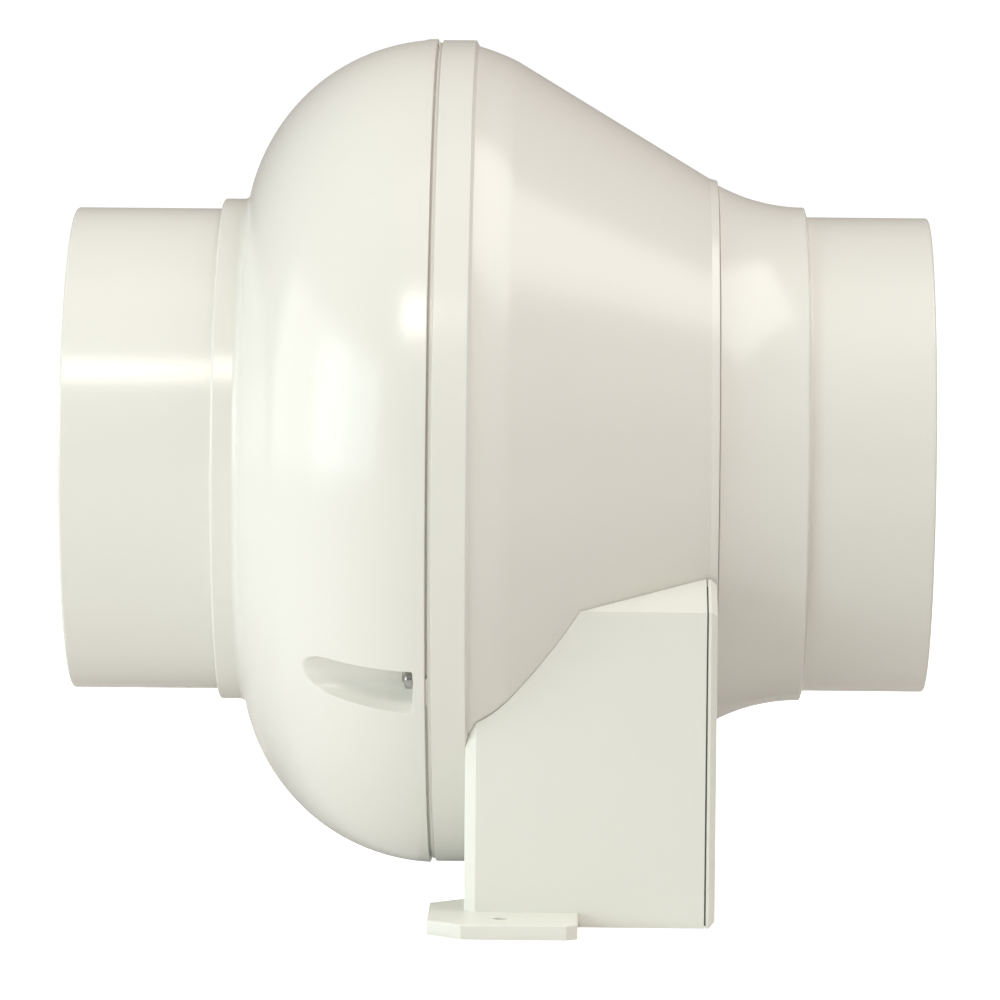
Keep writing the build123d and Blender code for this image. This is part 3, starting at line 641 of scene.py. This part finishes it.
# CAD nodes shown with their own shape and really rounded edges, and each rounding in mm
rounded_nodes = {
    "mounting_base": 0.45,
    "terminal_cover": 0.3,
    "casing_screws": 0.2,
    "cover_screws": 0.2,
}
for node, bevel in rounded_nodes.items():
    install(from_cad(node, bevel), node)


# Floor, light and camera

ambient_level = 0.285
ambient_colour = (1.0, 0.86, 0.79)
backdrop_level = 1.05
floor_glow = 0.92
camera_lens = 236.3
camera_place = (0.027, -2.034, 0.262)
camera_target = (0.0, 0.0, 0.1198)
camera_roll = 0.5
soft_box_distance = 2.6


def make_floor():
    """Pale floor that looks as bright as the backdrop to the camera, and only reflects light onto the fan."""
    size = 6.0
    mesh = bpy.data.meshes.new("floor")
    corners = [(-size, -size, 0), (size, -size, 0), (size, size, 0), (-size, size, 0)]
    mesh.from_pydata(corners, [], [(0, 1, 2, 3)])
    floor = bpy.data.objects.new("floor", mesh)
    bpy.context.scene.collection.objects.link(floor)
    floor.location.z = cad_box[0][2] - 0.0002
    material = node_material("floor", (0.76, 0.745, 0.73), 0.8, specular=0.0)
    shader = material.node_tree.nodes["Principled BSDF"]
    shader.inputs["Emission Color"].default_value = (1, 1, 1, 1)
    path = material.node_tree.nodes.new("ShaderNodeLightPath")
    glow = material.node_tree.nodes.new("ShaderNodeMapRange")
    glow.inputs["To Max"].default_value = floor_glow
    material.node_tree.links.new(path.outputs["Is Camera Ray"], glow.inputs["Value"])
    material.node_tree.links.new(glow.outputs["Result"], shader.inputs["Emission Strength"])
    mesh.materials.append(material)


def rectangle_light(name, size, power, colour):
    """Area light that is not yet placed."""
    light = bpy.data.lights.new(name, "AREA")
    light.shape = "RECTANGLE"
    light.size, light.size_y = size
    light.energy = power
    light.color = colour
    item = bpy.data.objects.new(name, light)
    bpy.context.scene.collection.objects.link(item)
    return item


def soft_box(name, azimuth, elevation, size, power, colour=(1, 1, 1)):
    """Soft box aimed at the fan, placed by its angles seen from the fan: azimuth 0 is towards the camera."""
    item = rectangle_light(name, size, power, colour)
    a, e = math.radians(azimuth), math.radians(elevation)
    away = Vector((math.sin(a) * math.cos(e), -math.cos(a) * math.cos(e), math.sin(e)))
    item.location = Vector((0, 0, axis_z)) + away * soft_box_distance
    item.rotation_euler = (-away).to_track_quat("-Z", "Y").to_euler()


def floor_card(name, x, y, size, power):
    """Bright card lying on the floor, out of the camera's sight, that lights the fan from below."""
    item = rectangle_light(name, size, power, (1, 1, 1))
    item.location = (x, y, cad_box[0][2] + 0.001)
    item.rotation_euler = (math.pi, 0, 0)
    item.visible_camera = False


def make_world():
    """Weak warm light from all round, behind a white backdrop that only the camera sees."""
    world = bpy.data.worlds.new("studio")
    world.use_nodes = True
    nodes = world.node_tree.nodes
    links = world.node_tree.links
    background = nodes["Background"]
    path = nodes.new("ShaderNodeLightPath")
    level = nodes.new("ShaderNodeMapRange")
    level.inputs["To Min"].default_value = ambient_level
    level.inputs["To Max"].default_value = backdrop_level
    tint = nodes.new("ShaderNodeMix")
    tint.data_type = "RGBA"
    tint.inputs["A"].default_value = (*ambient_colour, 1)
    tint.inputs["B"].default_value = (1, 1, 1, 1)
    links.new(path.outputs["Is Camera Ray"], level.inputs["Value"])
    links.new(path.outputs["Is Camera Ray"], tint.inputs["Factor"])
    links.new(level.outputs["Result"], background.inputs["Strength"])
    links.new(tint.outputs["Result"], background.inputs["Color"])
    bpy.context.scene.world = world


def make_camera():
    """Long lens a little above the fan, looking across the duct."""
    camera = bpy.data.cameras.new("camera")
    camera.lens = camera_lens
    camera.sensor_width = 36
    item = bpy.data.objects.new("camera", camera)
    item.location = camera_place
    aim = Vector(camera_target) - item.location
    roll = Euler((0, 0, math.radians(camera_roll)))
    turn = aim.to_track_quat("-Z", "Y").to_matrix() @ roll.to_matrix()
    item.rotation_euler = turn.to_euler()
    bpy.context.scene.collection.objects.link(item)
    bpy.context.scene.camera = item


make_floor()
make_world()
make_camera()
soft_box("key", -14.5, 39.5, (0.60, 0.45), 12, (1.0, 0.98, 0.88))
soft_box("left front", -52, 6, (1.8, 1.8), 30, (0.78, 0.96, 1.0))
soft_box("left fill", -78, 4, (2.6, 2.4), 32.5)
soft_box("right top", 75, 55, (1.8, 1.8), 30, (0.97, 1.0, 1.0))
soft_box("top fill", 30, 72, (2.6, 2.0), 10, (1.0, 0.86, 0.78))
floor_card("front card", -0.50, -0.55, (1.3, 1.1), 0.19)
floor_card("near card", -0.30, -0.20, (0.55, 0.40), 0.13)
bpy.context.scene.view_settings.view_transform = "Standard"
